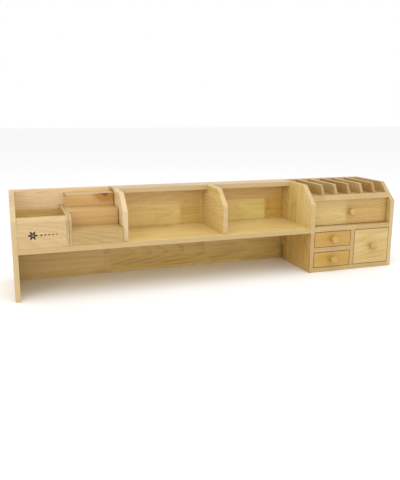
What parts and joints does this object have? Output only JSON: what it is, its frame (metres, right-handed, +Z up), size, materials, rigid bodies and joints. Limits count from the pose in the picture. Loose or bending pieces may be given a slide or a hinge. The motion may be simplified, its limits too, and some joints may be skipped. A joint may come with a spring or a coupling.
{
  "type": "desk hutch",
  "caption": "Long low desk hutch in pale wood with an open bin, a stepped tool rack, open bays and a drawer cabinet with a letter rack on top.",
  "frame": {"origin": "middle of the footprint, knobs included, on the surface the hutch stands on", "axes": "+X along the length towards the drawer cabinet, +Y towards the back panel, +Z up"},
  "size_m": [1.2, 0.242, 0.276],
  "materials": {
    "pale_wood": "clear satin lacquer on jointed pale hardwood",
    "warm_wood": "clear satin lacquer on jointed warmer hardwood",
    "straw_wood": "clear satin lacquer on jointed straw-coloured hardwood",
    "plug_wood": "end-grain plugs under clear lacquer",
    "steel": "plain zinc-plated screws"
  },
  "bodies": {
    "carcass": {"left_end_panel": "pale_wood", "back_panel": "warm_wood", "top_rail": "pale_wood", "long_shelf": "straw_wood", "bin_front": "pale_wood", "bin_right_side": "pale_wood", "tool_rack_left_side": "warm_wood", "tool_rack_front": "warm_wood", "low_tread": "straw_wood", "mid_riser": "warm_wood", "mid_tread": "straw_wood", "high_riser": "warm_wood", "high_tread": "straw_wood", "high_step_end": "warm_wood", "rack_end_divider": "pale_wood", "centre_divider": "pale_wood", "cabinet_left_side": "pale_wood", "cabinet_right_side": "pale_wood", "cabinet_bottom": "straw_wood", "mid_board": "straw_wood", "drawer_partition": "pale_wood", "small_drawer_shelf": "straw_wood", "letter_rack_floor": "straw_wood", "letter_divider_1": "pale_wood", "letter_divider_2": "pale_wood", "letter_divider_3": "pale_wood", "letter_divider_4": "pale_wood", "letter_divider_5": "pale_wood", "panel_screws": "steel", "screw_plugs": "plug_wood"},
    "wide_drawer": {"wide_drawer_front": "warm_wood", "wide_drawer_left_side": "straw_wood", "wide_drawer_right_side": "straw_wood", "wide_drawer_back": "straw_wood", "wide_drawer_bottom": "pale_wood", "wide_drawer_knob": "straw_wood", "wide_drawer_screw": "steel"},
    "upper_drawer": {"upper_drawer_front": "warm_wood", "upper_drawer_left_side": "straw_wood", "upper_drawer_right_side": "straw_wood", "upper_drawer_back": "straw_wood", "upper_drawer_bottom": "pale_wood", "upper_drawer_knob": "straw_wood", "upper_drawer_screw": "steel"},
    "lower_drawer": {"lower_drawer_front": "warm_wood", "lower_drawer_left_side": "straw_wood", "lower_drawer_right_side": "straw_wood", "lower_drawer_back": "straw_wood", "lower_drawer_bottom": "pale_wood", "lower_drawer_knob": "straw_wood", "lower_drawer_screw": "steel"},
    "tall_drawer": {"tall_drawer_front": "warm_wood", "tall_drawer_left_side": "straw_wood", "tall_drawer_right_side": "straw_wood", "tall_drawer_back": "straw_wood", "tall_drawer_bottom": "pale_wood", "tall_drawer_knob": "straw_wood", "tall_drawer_screw": "steel"}
  },
  "joints": [
    {"name": "wide_drawer_slide", "type": "slide", "parent": "carcass", "child": "wide_drawer", "axis": [0, -1, 0], "range_m": [0, 0.12]},
    {"name": "upper_drawer_slide", "type": "slide", "parent": "carcass", "child": "upper_drawer", "axis": [0, -1, 0], "range_m": [0, 0.13]},
    {"name": "lower_drawer_slide", "type": "slide", "parent": "carcass", "child": "lower_drawer", "axis": [0, -1, 0], "range_m": [0, 0.13]},
    {"name": "tall_drawer_slide", "type": "slide", "parent": "carcass", "child": "tall_drawer", "axis": [0, -1, 0], "range_m": [0, 0.13]}
  ]
}
